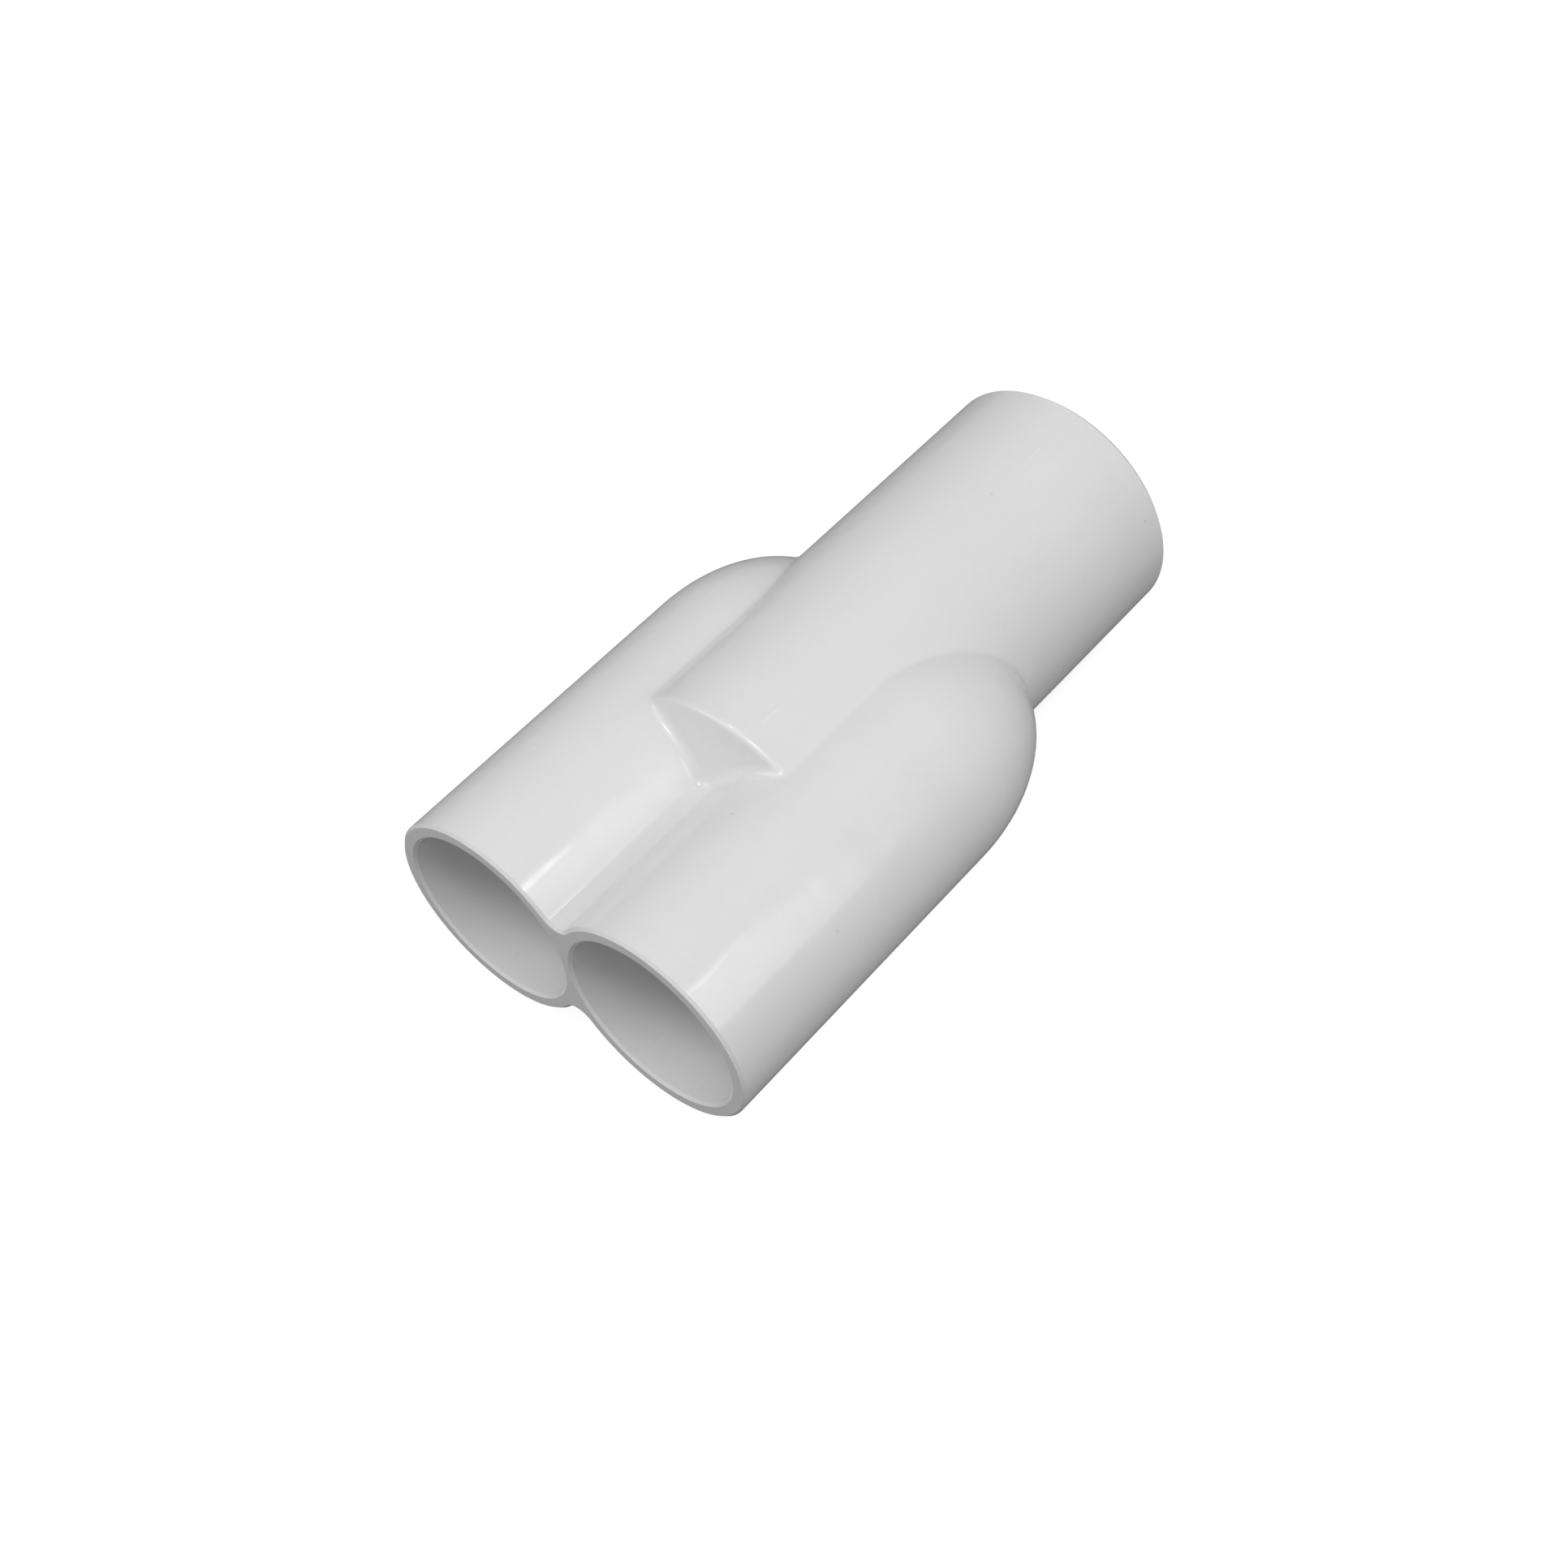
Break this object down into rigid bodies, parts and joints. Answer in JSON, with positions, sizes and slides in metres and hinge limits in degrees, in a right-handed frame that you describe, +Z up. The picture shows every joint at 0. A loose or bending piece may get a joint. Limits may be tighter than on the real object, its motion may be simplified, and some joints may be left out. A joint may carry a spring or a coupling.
{
  "type": "tubing y connector",
  "caption": "One-piece moulded pipe wye: parallel slip sockets side by side, each with a domed end, run together into one larger round spigot on the axis between them.",
  "frame": {"origin": "mid-length of the fitting, under its spigot's axis, on the surface that the spigot's lowest line rests on", "axes": "+X along the tubes from the socket mouths towards the spigot's end, +Y from the right socket towards the left one, +Z up, square to the plane of the tube axes"},
  "size_m": [0.1328, 0.0752, 0.0487],
  "materials": {
    "white_pvc": "smooth glossy injection-moulded rigid PVC"
  },
  "bodies": {
    "root": {"wye_body": "white_pvc"}
  },
  "joints": []
}
